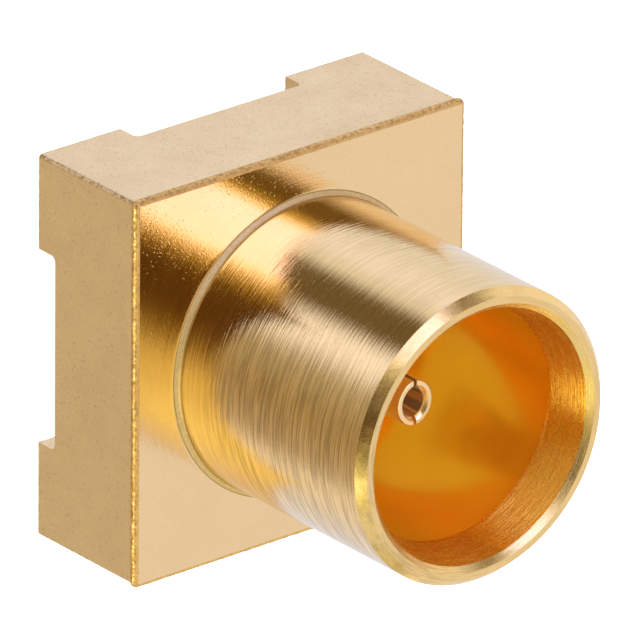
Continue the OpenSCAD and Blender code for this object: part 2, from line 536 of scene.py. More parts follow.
@dataclass(frozen=True)
class PlasticFinish:
    """Waxy white fluoropolymer with faint turning marks. Heights and depths are millimetres."""

    label: str = "Fluoropolymer"
    colour: Colour = (0.86, 0.86, 0.83)
    shade: Colour = (0.80, 0.79, 0.75)
    roughness: float = 0.42
    rough_spread: float = 0.06
    mark_height: float = 0.002
    milkiness: float = 0.3
    depth: float = 0.3

    def build(self, effects: SurfaceEffects) -> bpy.types.Material:
        """Makes the material.

        Args:
            effects: The shared node groups.

        Returns:
            The finished material.
        """
        material = bpy.data.materials.new(self.label)
        material.use_nodes = True
        material.node_tree.nodes.clear()
        wiring = Wiring(material.node_tree)
        marks = wiring.add("ShaderNodeGroup", node_tree=effects.turning).outputs
        grain = wiring.add("ShaderNodeGroup", node_tree=effects.grain).outputs
        bump = wiring.add("ShaderNodeBump", {
            "Strength": 1.0, "Distance": self.mark_height * MM, "Height": marks["Height"]})
        colour = wiring.blend(grain["Shade"], (*self.colour, 1.0), (*self.shade, 1.0))
        smoothest, roughest = self.roughness - self.rough_spread, self.roughness + self.rough_spread
        roughness = wiring.ramp(marks["Streak"], 0.0, 1.0, smoothest, roughest)
        shader = wiring.add("ShaderNodeBsdfPrincipled", {
            "Base Color": colour, "Roughness": roughness, "Normal": bump.outputs[0],
            "Subsurface Weight": self.milkiness, "Subsurface Scale": self.depth * MM})
        wiring.add("ShaderNodeOutputMaterial", {"Surface": shader.outputs[0]})
        return material


def build_finishes() -> dict[Finish, bpy.types.Material]:
    """Makes every finish of the jack.

    Returns:
        The material of each finish.
    """
    effects = SurfaceEffects()
    gold, shade = (0.95, 0.71, 0.38), (0.92, 0.67, 0.35)
    pale, pale_shade = (0.96, 0.76, 0.48), (0.82, 0.62, 0.37)
    books = {
        Finish.TURNED: GoldFinish(
            "Turned gold", gold, shade, roughness=0.09, rough_spread=0.03, anisotropy=0.5,
            mark_pitch=0.044, mark_around=2.6, mark_height=0.0042, mark_painted_shade=0.36,
            grain_size=0.02, pit_height=0.0004, seed=1.0),
        # The root fillet is painted darker than the plate, with a dimmer middle band and a much darker
        # band at each edge: painted shade in the crease between the front face and the barrel
        Finish.ROOT: GoldFinish(
            "Root gold", (0.80, 0.62, 0.33), (0.66, 0.49, 0.24), roughness=0.58, rough_spread=0.06,
            mark_height=0.002, seed=8.0),
        Finish.HOLLOW_PAINTED_SHADE: GoldFinish(
            "Hollow gold", (0.60, 0.40, 0.15), (0.48, 0.31, 0.11), roughness=0.50, rough_spread=0.06,
            mark_height=0.002, seed=10.0),
        Finish.FACED: GoldFinish(
            "Faced gold", gold, shade, roughness=0.08, rough_spread=0.02, anisotropy=0.5,
            mark_around=2.0, mark_height=0.0025, mark_painted_shade=0.07,
            grain_size=0.032, grain_height=0.0011, pit_height=0.0008, seed=2.0),
        Finish.RIM: GoldFinish(
            "Rim gold", (0.95, 0.69, 0.30), (0.86, 0.60, 0.25), roughness=0.28, rough_spread=0.08,
            anisotropy=0.5, mark_pitch=0.03, mark_around=5.0, mark_height=0.006, mark_painted_shade=0.25,
            grain_size=0.03, grain_height=0.0008, seed=6.0),
        # The lead-in is gold plate, and its extra saturated orange is painted reflection of gold bouncing
        # inside the mouth
        Finish.LEAD_IN_PAINTED_REFLECTION: GoldFinish(
            "Lead-in gold", (0.99, 0.65, 0.13), (0.96, 0.60, 0.10), roughness=0.26, rough_spread=0.06,
            anisotropy=0.85, mark_pitch=0.03, mark_around=3.0, mark_height=0.010, mark_painted_shade=0.15,
            grain_size=0.03, grain_height=0.0015, pit_height=0.0012, seed=9.0),
        # The bore's deep orange colour is painted reflection: it stands in for light bounced many times
        # between the gold walls
        Finish.BORE_PAINTED_REFLECTION: GoldFinish(
            "Bore gold", (0.99, 0.58, 0.02), (0.99, 0.55, 0.02), roughness=0.17, metallic=0.65,
            mark_around=2.0, mark_painted_shade=0.03, grain_height=0.0, seed=3.0),
        Finish.MILLED: GoldFinish(
            "Milled gold", pale, pale_shade, roughness=0.42, rough_spread=0.05, milled_height=0.003,
            grain_size=0.026, grain_height=0.0036, nick_shade=0.8, speckle=0.16, seed=4.0),
        # The bead's darker, more orange colour is painted shade along the rounded front edge; its nicks
        # are wear
        Finish.BEAD: GoldFinish(
            "Rolled gold", (0.88, 0.58, 0.24), (0.74, 0.44, 0.15), roughness=0.55, rough_spread=0.08,
            grain_height=0.004, pit_height=0.003, nick_shade=0.6, seed=7.0),
        Finish.CONTACT: GoldFinish(
            "Contact gold", gold, shade, roughness=0.20, rough_spread=0.03, anisotropy=0.3,
            metallic=0.85, mark_pitch=0.03, mark_height=0.0006, seed=5.0),
        Finish.PLASTIC: PlasticFinish(),
    }
    return {finish: book.build(effects) for finish, book in books.items()}


class Trees:
    """Geometry Nodes trees that make the turned shells and the repeated milled pieces."""

    def __init__(self, finishes: dict[Finish, bpy.types.Material]) -> None:
        """Builds both trees.

        Args:
            finishes: The material of each finish.
        """
        self.finishes = finishes
        self.lathe = self._lathe()
        self.ring = self._ring_of_copies()

    def _dress(self, wiring: Wiring, geometry: bpy.types.NodeSocket) -> bpy.types.NodeSocket:
        """Realizes the geometry and gives each face the material of its finish.

        Args:
            wiring: The tree's wiring.
            geometry: What is dressed.

        Returns:
            The dressed geometry.
        """
        geometry = wiring.add("GeometryNodeRealizeInstances", {0: geometry}).outputs[0]
        carried = wiring.named("finish", "INT")
        for finish, material in self.finishes.items():
            chosen = wiring.math("COMPARE", carried, float(finish.value), 0.5)
            geometry = wiring.add("GeometryNodeSetMaterial", {
                "Geometry": geometry, "Selection": chosen, "Material": material}).outputs[0]
        return geometry

    def _lathe(self) -> bpy.types.NodeTree:
        """Turns a half section about Z and cuts faint tool marks into it.

        Returns:
            The tree. Its section is a row of points in the XZ plane, each with the finish of the
            surface that starts there and a weight for the tool marks.
        """
        tree, wiring, given, out = new_tree(
            "Turned shell", "GeometryNodeTree",
            (("Section", GEOMETRY), ("Segments", INTEGER, 360), ("Mark Depth", FLOAT, 0.0),
             ("Mark Pitch", FLOAT, 0.0001), ("Mark Drift", FLOAT, 1.0), ("Seed", INTEGER, 1)),
            (("Shell", GEOMETRY),))
        section, segments = given["Section"], given["Segments"]
        rows = wiring.add(
            "GeometryNodeAttributeDomainSize", {0: section}, component="MESH").outputs["Point Count"]
        grid = wiring.add("GeometryNodeMeshGrid", {
            "Vertices X": wiring.math("ADD", segments, 1.0), "Vertices Y": rows}).outputs["Mesh"]
        index = wiring.add("GeometryNodeInputIndex").outputs[0]
        row = wiring.math("MODULO", index, rows)
        column = wiring.math("DIVIDE", wiring.math("SUBTRACT", index, row), rows)
        angle = wiring.math("MULTIPLY", wiring.math("DIVIDE", column, segments), math.tau)

        def sampled(data_type: str, value: Value, at: Value) -> bpy.types.NodeSocket:
            """Reads a value from one point of the section."""
            values = {"Geometry": section, "Value": value, "Index": at}
            return wiring.add("GeometryNodeSampleIndex", values, data_type=data_type).outputs[0]

        place = wiring.add("GeometryNodeInputPosition").outputs[0]
        point = sampled("FLOAT_VECTOR", place, row)
        shell = wiring.add("GeometryNodeSetPosition", {
            "Geometry": grid, "Position": wiring.turn(point, angle)}).outputs[0]

        face_row = wiring.math("MODULO", index, wiring.math("SUBTRACT", rows, 1.0))
        finish = sampled("INT", wiring.named("finish", "INT"), face_row)
        shell = wiring.add("GeometryNodeStoreNamedAttribute", {
            "Geometry": shell, "Name": "finish", "Value": finish},
            data_type="INT", domain="FACE").outputs[0]

        part = wiring.split(point)
        along = wiring.math("DIVIDE", wiring.math("ADD", part[0], part[2]), given["Mark Pitch"])
        compass = wiring.turn(wiring.combine(given["Mark Drift"]), angle)
        groove = wiring.vector("ADD", compass, wiring.combine(z=along))
        wander = wiring.math("SUBTRACT", wiring.noise(groove, seed=given["Seed"]), 0.5)
        weight = sampled("FLOAT", wiring.named("mark", "FLOAT"), row)
        cut = wiring.math("MULTIPLY", wander, wiring.math("MULTIPLY", given["Mark Depth"], weight))
        normal = wiring.add("GeometryNodeInputNormal").outputs[0]
        shell = wiring.add("GeometryNodeSetPosition", {
            "Geometry": shell, "Offset": wiring.scale(normal, cut)}).outputs[0]
        shell = wiring.add("GeometryNodeMergeByDistance", {
            "Geometry": shell, "Distance": WELD}).outputs[0]
        shell = wiring.add("GeometryNodeSetShadeSmooth", {"Geometry": shell}).outputs[0]
        wiring.feed(out.inputs["Shell"], self._dress(wiring, shell))
        return tree

    def _ring_of_copies(self) -> bpy.types.NodeTree:
        """Repeats a piece in equal steps about Z, welds the copies and frays their edges.

        Returns:
            The tree.
        """
        tree, wiring, given, out = new_tree(
            "Ring of copies", "GeometryNodeTree",
            (("Piece", GEOMETRY), ("Count", INTEGER, 4), ("Fray", FLOAT, 0.0),
             ("Fray Size", FLOAT, 0.00005), ("Seed", INTEGER, 1)),
            (("Ring", GEOMETRY),))
        places = wiring.add("GeometryNodeMeshLine", {
            "Count": given["Count"], "Offset": (0.0, 0.0, 0.0)}).outputs[0]
        index = wiring.add("GeometryNodeInputIndex").outputs[0]
        turn = wiring.math("MULTIPLY", wiring.math("DIVIDE", index, given["Count"]), math.tau)
        ring = wiring.add("GeometryNodeInstanceOnPoints", {
            "Points": places, "Instance": given["Piece"], "Rotation": wiring.combine(z=turn)}).outputs[0]
        ring = wiring.add("GeometryNodeRealizeInstances", {0: ring}).outputs[0]
        ring = wiring.add("GeometryNodeMergeByDistance", {
            "Geometry": ring, "Distance": WELD}).outputs[0]
        place = wiring.add("GeometryNodeInputPosition").outputs[0]
        spread = wiring.add("ShaderNodeTexNoise", {
            "Vector": place, "W": given["Seed"], "Scale": wiring.math("DIVIDE", 1.0, given["Fray Size"]),
            "Detail": 1.0}, noise_dimensions="4D").outputs["Color"]
        reach = wiring.math("MULTIPLY", wiring.named("edge", "FLOAT"), given["Fray"])
        offset = wiring.scale(wiring.vector("SUBTRACT", spread, (0.5, 0.5, 0.5)), reach)
        ring = wiring.add("GeometryNodeSetPosition", {"Geometry": ring, "Offset": offset}).outputs[0]
        wiring.feed(out.inputs["Ring"], self._dress(wiring, ring))
        return tree


def grow(mesh: bpy.types.Mesh, tree: bpy.types.NodeTree, values: dict[str, float]) -> bpy.types.Mesh:
    """Runs a Geometry Nodes tree on a mesh and keeps the result as a plain mesh.

    Args:
        mesh: What the tree starts from.
        tree: The tree.
        values: Its named inputs.

    Returns:
        The new mesh.
    """
    carrier = bpy.data.objects.new(mesh.name, mesh)
    bpy.context.scene.collection.objects.link(carrier)
    modifier = carrier.modifiers.new(tree.name, "NODES")
    modifier.node_group = tree
    for item in tree.interface.items_tree:
        if item.item_type == "SOCKET" and item.in_out == "INPUT" and item.name in values:
            modifier[item.identifier] = values[item.name]
    graph = bpy.context.evaluated_depsgraph_get()
    grown = bpy.data.meshes.new_from_object(
        carrier.evaluated_get(graph), preserve_all_data_layers=True, depsgraph=graph)
    bpy.data.objects.remove(carrier)
    return grown


def on_circle(centre: FlatPoint, radius: float, angle: float) -> FlatPoint:
    """Returns the point of a circle at an angle in radians."""
    return centre[0] + radius * math.cos(angle), centre[1] + radius * math.sin(angle)


def quarter_turn(centre: FlatPoint, radius: float) -> list[FlatPoint]:
    """Lists the points of a quarter of a circle, from the first axis round to the second."""
    return [on_circle(centre, radius, math.radians(90 * step / ARC)) for step in range(ARC + 1)]


def direction(azimuth_deg: float, elevation_deg: float) -> Point:
    """Returns the unit vector to a compass angle and a height above the floor, both in degrees."""
    azimuth, elevation = math.radians(azimuth_deg), math.radians(elevation_deg)
    return (math.cos(azimuth) * math.cos(elevation), math.sin(azimuth) * math.cos(elevation),
            math.sin(elevation))


class Section:
    """Half section of a turned piece: a row of points in the XZ plane, in millimetres."""

    def __init__(self, radius: float, level: float, finish: Finish) -> None:
        """Starts the row.

        Args:
            radius: First point's distance from the axis.
            level: First point's height.
            finish: Finish of the surface that starts there.
        """
        self.points: list[FlatPoint] = [(radius, level)]
        self.marks: list[float] = [0.0]
        self.finishes: list[Finish] = [finish]

    def line(self, radius: float, level: float, finish: Optional[Finish] = None, steps: int = 1,
             mark: float = 0.0) -> "Section":
        """Adds a straight stretch.

        Args:
            radius: Its far end's distance from the axis.
            level: Its far end's height.
            finish: Finish of what follows, if it changes there.
            steps: Rows along it.
            mark: Weight of the tool marks between its ends.

        Returns:
            The section itself.
        """
        from_radius, from_level = self.points[-1]
        points = []
        for step in range(1, steps + 1):
            share = step / steps
            points.append((from_radius + (radius - from_radius) * share,
                           from_level + (level - from_level) * share))
        return self._extend(points, finish, mark)

    def arc(self, centre: FlatPoint, radius: float, start: float, end: float, steps: int,
            finish: Optional[Finish] = None) -> "Section":
        """Adds an arc that starts at the last point.

        Args:
            centre: Its centre.
            radius: Its radius.
            start: Angle of its start, in degrees from the outward direction.
            end: Angle of its end.
            steps: Rows along it.
            finish: Finish of what follows, if it changes there.

        Returns:
            The section itself.
        """
        angles = [math.radians(start + (end - start) * step / steps) for step in range(1, steps + 1)]
        return self._extend([on_circle(centre, radius, angle) for angle in angles], finish)

    def _extend(self, points: Sequence[FlatPoint], finish: Optional[Finish],
                mark: float = 0.0) -> "Section":
        """Adds rows that carry on the last finish.

        Args:
            points: The rows.
            finish: Finish of what follows them, if it changes there.
            mark: Weight of the tool marks between their ends.

        Returns:
            The section itself.
        """
        self.points += points
        self.marks += [mark] * (len(points) - 1) + [0.0]
        self.finishes += [self.finishes[-1]] * len(points)
        self.finishes[-1] = finish or self.finishes[-1]
        return self

    def mesh(self, name: str) -> bpy.types.Mesh:
        """Draws the row as a mesh of points with its marks and finishes.

        Args:
            name: The mesh's name.

        Returns:
            The mesh, in metres.
        """
        mesh = bpy.data.meshes.new(name)
        mesh.from_pydata([(radius * MM, 0.0, level * MM) for radius, level in self.points], [], [])
        mesh.attributes.new("mark", "FLOAT", "POINT").data.foreach_set("value", self.marks)
        numbers = [finish.value for finish in self.finishes]
        mesh.attributes.new("finish", "INT", "POINT").data.foreach_set("value", numbers)
        return mesh


class Draft:
    """A mesh in the making, drawn face by face in millimetres, where equal corners are one."""

    # Steps of a millimetre that tell one corner from another
    GRAIN = 1e5

    def __init__(self) -> None:
        """Starts an empty mesh with the attributes that the trees and materials read."""
        self.work = bmesh.new()
        self.finish = self.work.faces.layers.int.new("finish")
        self.edge = self.work.verts.layers.float.new("edge")
        self.corners: dict[tuple, bmesh.types.BMVert] = {}

    def corner(self, point: Point, edge: float = 0.0) -> bmesh.types.BMVert:
        """Returns the corner at a point, and makes it if it is new."""
        key = tuple(round(part * self.GRAIN) for part in point)
        if key not in self.corners:
            self.corners[key] = self.work.verts.new(Vector(point) * MM)
            self.corners[key][self.edge] = edge
        return self.corners[key]

    def face(self, points: Sequence[Point], finish: Finish, smooth: bool = False) -> None:
        """Adds a face.

        Args:
            points: Its corners, in order.
            finish: Its finish.
            smooth: Whether it is shaded as part of a curve.
        """
        corners = list(dict.fromkeys(self.corner(point) for point in points))
        if len(corners) < 3 or self.work.faces.get(corners):
            return
        face = self.work.faces.new(corners)
        face[self.finish] = finish.value
        face.smooth = smooth

    def strip(self, first: Sequence[Point], second: Sequence[Point], finish: Finish,
              smooth: bool = True) -> None:
        """Adds a row of faces between two rows of corners.

        Args:
            first: One row.
            second: The other row, of the same length.
            finish: Finish of the faces.
            smooth: Whether they are shaded as part of a curve.
        """
        for step in range(len(first) - 1):
            self.face((first[step], first[step + 1], second[step + 1], second[step]), finish, smooth)

    def plate(self, outline: Sequence[Point], hole: Sequence[Point], finish: Finish) -> None:
        """Adds a flat plate with a hole in it.

        Args:
            outline: The plate's outline.
            hole: The hole's outline.
            finish: Finish of the plate.
        """
        points = [*outline, *hole]
        loops = [[Vector(point) for point in outline], [Vector(point) for point in hole]]
        for triangle in tessellate_polygon(loops):
            self.face([points[number] for number in triangle], finish)

    def mesh(self, name: str) -> bpy.types.Mesh:
        """Closes the draft.

        Args:
            name: The mesh's name.

        Returns:
            The mesh, in metres.
        """
        mesh = bpy.data.meshes.new(name)
        self.work.to_mesh(mesh)
        self.work.free()
        return mesh


def weld(name: str, meshes: Sequence[bpy.types.Mesh], finishes: dict[Finish, bpy.types.Material],
         crease_deg: float = 13.0) -> bpy.types.Object:
    """Joins meshes whose borders meet into one closed piece.

    Args:
        name: The piece's name.
        meshes: Its parts.
        finishes: The material of each finish.
        crease_deg: Edges sharper than this are shaded as creases.

    Returns:
        The new object, at the origin.
    """
    work = bmesh.new()
    for mesh in meshes:
        work.from_mesh(mesh)
    bmesh.ops.remove_doubles(work, verts=work.verts, dist=WELD)
    bmesh.ops.dissolve_degenerate(work, edges=work.edges, dist=SLIVER)
    bmesh.ops.recalc_face_normals(work, faces=work.faces)
    layer = work.faces.layers.int["finish"]
    used = sorted({face[layer] for face in work.faces})
    for face in work.faces:
        face.material_index = used.index(face[layer])
    for edge in work.edges:
        edge.smooth = edge.calc_face_angle(0.0) < math.radians(crease_deg)
    open_edges = sum(not edge.is_manifold for edge in work.edges)
    joined = bpy.data.meshes.new(name)
    work.to_mesh(joined)
    work.free()
    for number in used:
        joined.materials.append(finishes[Finish(number)])
    piece = bpy.data.objects.new(name, joined)
    bpy.context.scene.collection.objects.link(piece)
    log.info("%s: %d faces, %d open edges", name, len(joined.polygons), open_edges)
    return piece


def seat(piece: bpy.types.Object, node: str) -> None:
    """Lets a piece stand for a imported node.

    Args:
        piece: The dressed piece.
        node: The node that it replaces.
    """
    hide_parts(node)
    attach(piece, "root")


def circle(radius: float, level: float, segments: int) -> list[Point]:
    """Lists the corners of a circle about the axis."""
    turns = (math.tau * step / segments for step in range(segments))
    return [(*on_circle((0.0, 0.0), radius, turn), level) for turn in turns]


@dataclass
class Bearings:
    """Sizes that the three pieces share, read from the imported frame, in millimetres."""

    reach: float
    rim_z: float
    barrel_r: float
    bore_r: float
    floor_z: float
    insulator_r: float
    back_z: float
    tip_z: float
    barb_r: float
    pin_hole_r: float
    tine_l: float

    @classmethod
    def read(cls, record: dict) -> "Bearings":
        """Takes the sizes from the nodes' boxes and the record's mounts.

        Args:
            record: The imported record.

        Returns:
            The sizes.
        """
        mounts = {mount["name"]: mount["dims"] for mount in record["mounts"]}
        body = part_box("connector_body")[1] / MM
        plug_low, plug_high = (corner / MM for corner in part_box("insulator"))
        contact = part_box("centre_contact")[1] / MM
        return cls(
            reach=body.x, rim_z=body.z, barrel_r=mounts["barrel_outside"]["r_mm"],
            bore_r=mounts["mating_bore"]["r_mm"], floor_z=body.z - mounts["mating_bore"]["length_mm"],
            insulator_r=plug_high.x, back_z=plug_low.z, tip_z=contact.z, barb_r=contact.x,
            pin_hole_r=mounts["contact_socket"]["r_mm"], tine_l=mounts["contact_socket"]["length_mm"])


@dataclass
class ConnectorBody:
    """Body of the jack: a square base on four feet, and the barrel that is turned out of it.

    Sizes are millimetres. The face_ring is the part of the front face that is drawn with the barrel.
    """

    bearings: Bearings
    base_h: float = 2.42
    corner_r: float = 0.06
    bead_r: float = 0.08
    bead_out: float = 0.035
    foot_break: float = 0.02
    slot_w: float = 3.22
    slot_depth: float = 0.42
    slot_fillet: float = 0.1
    root_fillet: float = 0.11
    face_ring: float = 0.02
    rim_chamfer_w: float = 0.125
    rim_chamfer_l: float = 0.15
    mouth_r: float = 2.155
    mouth_chamfer: float = 0.09
    lead_in_l: float = 0.63
    throat_r: float = 1.9
    throat_l: float = 0.06
    nose_r: float = 1.3
    lip_t: float = 0.3
    rear_chamfer: float = 0.06
    segments: int = 360
    barrel_rows: int = 72
    edge_steps: int = 90
    edge_rows: int = 14
    half: float = field(init=False)
    root: float = field(init=False)

    def __post_init__(self) -> None:
        """Works out half the base's width, and where the turned part meets the front face."""
        self.half = self.bearings.reach - self.bead_out
        self.root = self.bearings.barrel_r + self.root_fillet + self.face_ring

    def section(self) -> Section:
        """Draws the half section of all that is turned, from the front face to the slot floor."""
        own = self.bearings
        fillet, rim_z = self.root_fillet, own.rim_z
        taper_z = rim_z - self.mouth_chamfer
        throat_z = taper_z - self.lead_in_l
        flare_z = throat_z - self.throat_l
        section = Section(self.root, self.base_h, Finish.FACED)
        section.line(own.barrel_r + fillet, self.base_h)
        hollow = (own.barrel_r + fillet, self.base_h + fillet)
        start = 270.0
        # Rows of the root fillet: darker edge bands and a dimmer middle, painted shade in the crease
        for rows, finish in (
                (1, Finish.HOLLOW_PAINTED_SHADE), (1, Finish.ROOT), (4, Finish.HOLLOW_PAINTED_SHADE), (2, Finish.TURNED)):
            end = start - 90 * rows / ARC
            section.arc(hollow, fillet, start, end, rows, finish)
            start = end
        section.line(own.barrel_r, rim_z - self.rim_chamfer_l, Finish.RIM, self.barrel_rows, mark=1.0)
        section.line(own.barrel_r - self.rim_chamfer_w, rim_z, steps=5, mark=1.0)
        section.line(self.mouth_r, rim_z, steps=2)
        section.line(self.mouth_r - self.mouth_chamfer, taper_z, Finish.LEAD_IN_PAINTED_REFLECTION, steps=4, mark=1.0)
        section.line(self.throat_r, throat_z, steps=8, mark=1.0)
        section.line(self.throat_r, flare_z, Finish.BORE_PAINTED_REFLECTION)
        section.line(own.bore_r, flare_z - (own.bore_r - self.throat_r))
        section.line(own.bore_r, own.floor_z, steps=24)
        section.line(self.nose_r, own.floor_z, steps=3)
        section.line(self.nose_r, own.floor_z - self.lip_t)
        section.line(own.insulator_r, own.floor_z - self.lip_t)
        section.line(own.insulator_r, self.slot_depth + self.rear_chamfer)
        section.line(own.insulator_r + self.rear_chamfer, self.slot_depth)
        return section

    def outline(self, inset: float, level: float) -> list[Point]:
        """Draws one quarter of the base's outline, from the middle of one side to the next.

        Args:
            inset: Distance inside the sides, or outside them where it is negative.
            level: Height of the points.

        Returns:
            The points.
        """
        half, steps = self.half, self.edge_steps
        bend = half - self.corner_r
        side = [(half - inset, bend * step / steps, level) for step in range(steps)]
        corner = [(*place, level) for place in quarter_turn((bend, bend), self.corner_r - inset)]
        return side + corner + [(y, x, z) for x, y, z in reversed(side)]

    def slot_wall(self) -> list[FlatPoint]:
        """Lists a slot wall's section, from the slot floor to the foot, as distance and height."""
        foot, fillet = self.slot_w / 2, self.slot_fillet
        arc = quarter_turn((foot - fillet, self.slot_depth - fillet), fillet)
        return [*reversed(arc), (foot, self.foot_break)]

    @staticmethod
    def _swapped(points: Iterable[Point], swap: bool) -> list[Point]:
        """Exchanges X and Y where that is asked, which gives the next side of the base."""
        return [(y, x, z) for x, y, z in points] if swap else list(points)

    def quarter(self) -> bpy.types.Mesh:
        """Draws one quarter of the base: its sides, the bead on its front edge and one foot."""
        draft = Draft()
        half, pad = self.half, self.foot_break
        bend = half - self.corner_r
        # The bead starts where it comes back in to the side
        lowest = -math.acos(1 - self.bead_out / self.bead_r)
        rows = []
        for row in range(self.edge_rows + 1):
            share = row / self.edge_rows
            turn = lowest + (math.radians(90) - lowest) * share
            inset = self.bead_r * (1 - math.cos(turn)) - self.bead_out
            points = self.outline(inset, self.base_h - self.bead_r * (1 - math.sin(turn)))
            for point in points:
                draft.corner(point, math.sin(math.pi * share))
            rows.append(points)
        for lower, upper in zip(rows, rows[1:]):
            draft.strip(lower, upper, Finish.BEAD)

        wall = self.slot_wall()
        top = rows[0]
        sides = self.edge_steps
        side = [(half, 0.0, self.slot_depth), *((half, away, level) for away, level in wall)]
        side += [(half, bend, pad), *reversed(top[:sides + 1])]
        for swap in (False, True):
            draft.face(self._swapped(side, swap), Finish.MILLED)
            for (near, low), (far, high) in zip(wall, wall[1:]):
                patch = ((near, near, low), (half, near, low), (half, far, high), (far, far, high))
                draft.face(self._swapped(patch, swap), Finish.MILLED, smooth=True)

        corner_top = top[sides:sides + ARC + 1]
        corner_low = [(x, y, pad) for x, y, _ in corner_top]
        draft.strip(corner_low, corner_top, Finish.MILLED)
        foot = self.slot_w / 2
        outer = [(foot, foot, pad), (half, foot, pad), *corner_low, (foot, half, pad)]
        inner = [(foot + pad, foot + pad, 0.0), (half - pad, foot + pad, 0.0)]
        inner += [(*place, 0.0) for place in quarter_turn((bend, bend), self.corner_r - pad)]
        inner += [(foot + pad, half - pad, 0.0)]
        draft.strip([*outer, outer[0]], [*inner, inner[0]], Finish.MILLED, smooth=False)
        draft.face(inner, Finish.MILLED)
        return draft.mesh("base_quarter")

    def plates(self) -> bpy.types.Mesh:
        """Draws the flat front face around the barrel and the slot floor around the insulator."""
        draft = Draft()
        front = self._all_round(self.outline(self.bead_r - self.bead_out, self.base_h)[:-1])
        draft.plate(front, circle(self.root, self.base_h, self.segments), Finish.FACED)
        half, near = self.half, self.slot_wall()[0][0]
        arm = [(half, 0.0), (half, near), (near, near), (near, half)]
        floor = self._all_round([(x, y, self.slot_depth) for x, y in arm])
        hole = circle(self.bearings.insulator_r + self.rear_chamfer, self.slot_depth, self.segments)
        draft.plate(floor, hole, Finish.MILLED)
        return draft.mesh("base_plates")

    @staticmethod
    def _all_round(points: Sequence[Point]) -> list[Point]:
        """Repeats a quarter of an outline around the axis."""
        whole = list(points)
        for _ in range(3):
            points = [(-y, x, z) for x, y, z in points]
            whole += points
        return whole

    def build(self, trees: Trees) -> bpy.types.Object:
        """Makes the whole body.

        Args:
            trees: The Geometry Nodes trees.

        Returns:
            The dressed piece, in place.
        """
        turned = grow(self.section().mesh("body_section"), trees.lathe, {
            "Segments": self.segments, "Mark Depth": 0.0012 * MM, "Mark Pitch": 0.11 * MM,
            "Mark Drift": 1.3, "Seed": 11})
        base = grow(self.quarter(), trees.ring, {
            "Count": 4, "Fray": 0.022 * MM, "Fray Size": 0.06 * MM, "Seed": 12})
        piece = weld("jack_body", [turned, base, self.plates()], trees.finishes)
        seat(piece, "connector_body")
        return piece


@dataclass
class Insulator:
    """Fluoropolymer bush between the body and the centre contact, in millimetres."""

    bearings: Bearings
    nose_r: float = 1.3
    lip_t: float = 0.3
    rear_chamfer: float = 0.06
    shank_r: float = 0.45
    barb_l: float = 0.3
    tail_r: float = 0.38
    tail_seat: float = 0.45
    segments: int = 180

    def build(self, trees: Trees) -> bpy.types.Object:
        """Turns the bush.

        Args:
            trees: The Geometry Nodes trees.

        Returns:
            The dressed piece, in place.
        """
        own = self.bearings
        lip_z = own.floor_z - self.lip_t
        seat_z = own.back_z + self.tail_seat
        barb_z = (seat_z + own.floor_z) / 2
        section = Section(self.nose_r, own.floor_z, Finish.PLASTIC)
        section.line(self.shank_r, own.floor_z, steps=6)
        section.line(self.shank_r, barb_z + self.barb_l).line(own.barb_r, barb_z)
        section.line(self.shank_r, barb_z).line(self.shank_r, seat_z)
        section.line(self.tail_r, seat_z).line(self.tail_r, own.back_z)
        section.line(own.insulator_r - self.rear_chamfer, own.back_z, steps=8)
        section.line(own.insulator_r, own.back_z + self.rear_chamfer)
        section.line(own.insulator_r, lip_z).line(self.nose_r, lip_z).line(self.nose_r, own.floor_z)
        turned = grow(section.mesh("insulator_section"), trees.lathe, {
            "Segments": self.segments, "Mark Depth": 0.0, "Mark Pitch": 0.1 * MM, "Seed": 21})
        piece = weld("insulator_bush", [turned], trees.finishes)
        seat(piece, "insulator")
        return piece


